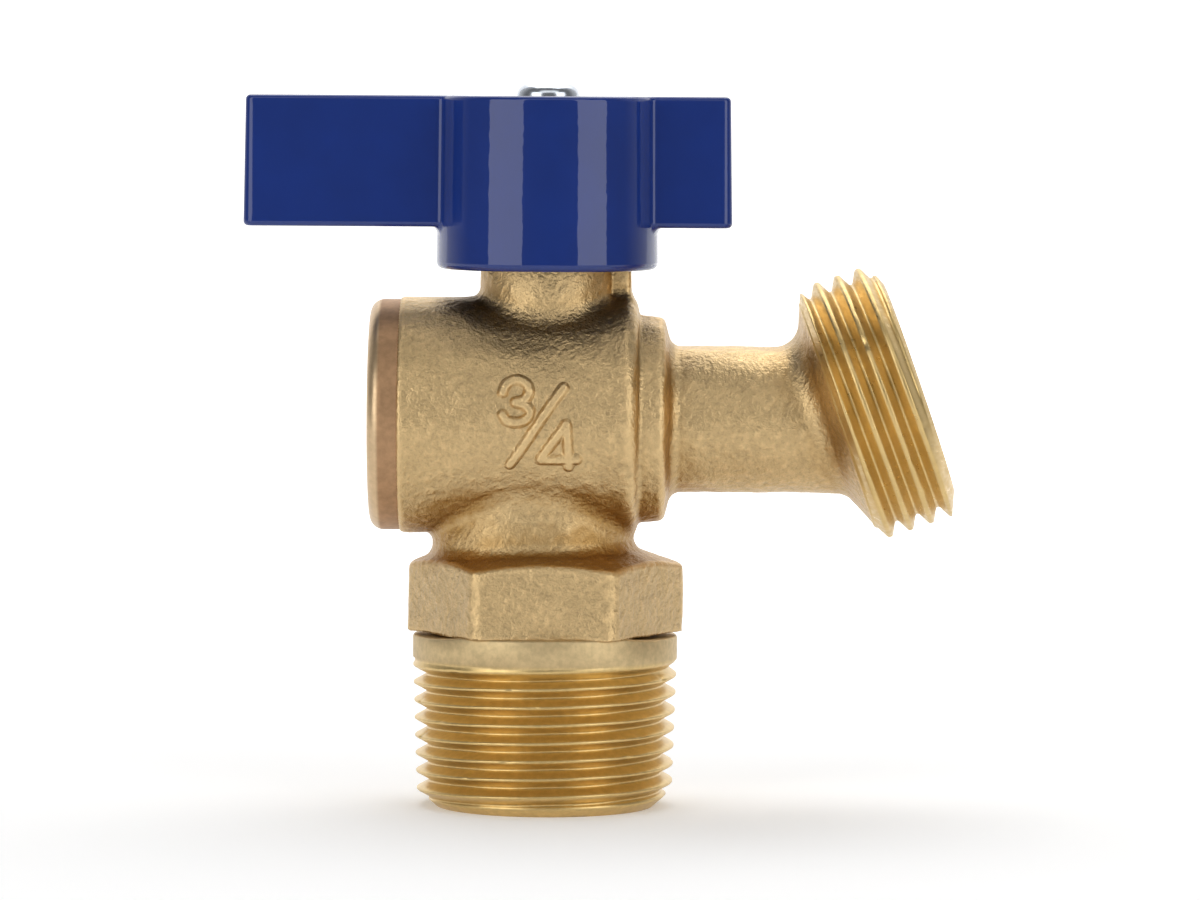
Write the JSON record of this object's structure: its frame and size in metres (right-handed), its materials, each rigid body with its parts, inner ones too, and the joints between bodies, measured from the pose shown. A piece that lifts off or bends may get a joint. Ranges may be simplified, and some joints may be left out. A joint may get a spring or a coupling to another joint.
{
  "type": "boiler drain valve",
  "caption": "Angle-pattern quarter-turn drain valve with a male pipe-thread inlet, a tilted hose-thread outlet and a tee handle on top.",
  "frame": {"origin": "centre of the inlet's end face, on the stem's axis", "axes": "+Z along the inlet and stem axis, towards the handle; +X towards the hose outlet"},
  "size_m": [0.0724, 0.027, 0.0736],
  "materials": {
    "forged_brass": "sand-blasted forging with turned threads",
    "turned_brass": "turned, semi-bright",
    "chrome_plate": "polished hard chrome",
    "white_ptfe": "smooth, waxy",
    "black_rubber": "smooth moulded",
    "blue_paint": "gloss paint over die-cast zinc",
    "bright_zinc": "bright zinc plate"
  },
  "bodies": {
    "valve_body": {"body": "forged_brass", "outlet_seat": "white_ptfe", "rear_seat": "white_ptfe", "end_plug": "turned_brass", "end_plug_o_ring": "black_rubber", "stem_thrust_washer": "white_ptfe", "packing_ring_lower": "white_ptfe", "packing_ring_upper": "white_ptfe", "gland_ring": "turned_brass", "packing_nut": "turned_brass"},
    "turning_handle": {"handle": "blue_paint", "stem": "turned_brass", "stem_o_ring": "black_rubber", "handle_screw": "bright_zinc", "screw_lock_washer": "bright_zinc"},
    "valve_ball": {"ball": "chrome_plate"}
  },
  "joints": [
    {"name": "handle_turn", "type": "hinge", "parent": "valve_body", "child": "turning_handle", "pos_m": [0, 0, 0.0612], "axis": [0, 0, 1], "range_deg": [-90, 0]},
    {"name": "ball_turn", "type": "hinge", "parent": "valve_body", "child": "valve_ball", "pos_m": [0, 0, 0.0399], "axis": [0, 0, 1], "range_deg": [-90, 0]}
  ],
  "couplings": [
    {"joint": "ball_turn", "follows": "handle_turn", "ratio": 1}
  ]
}
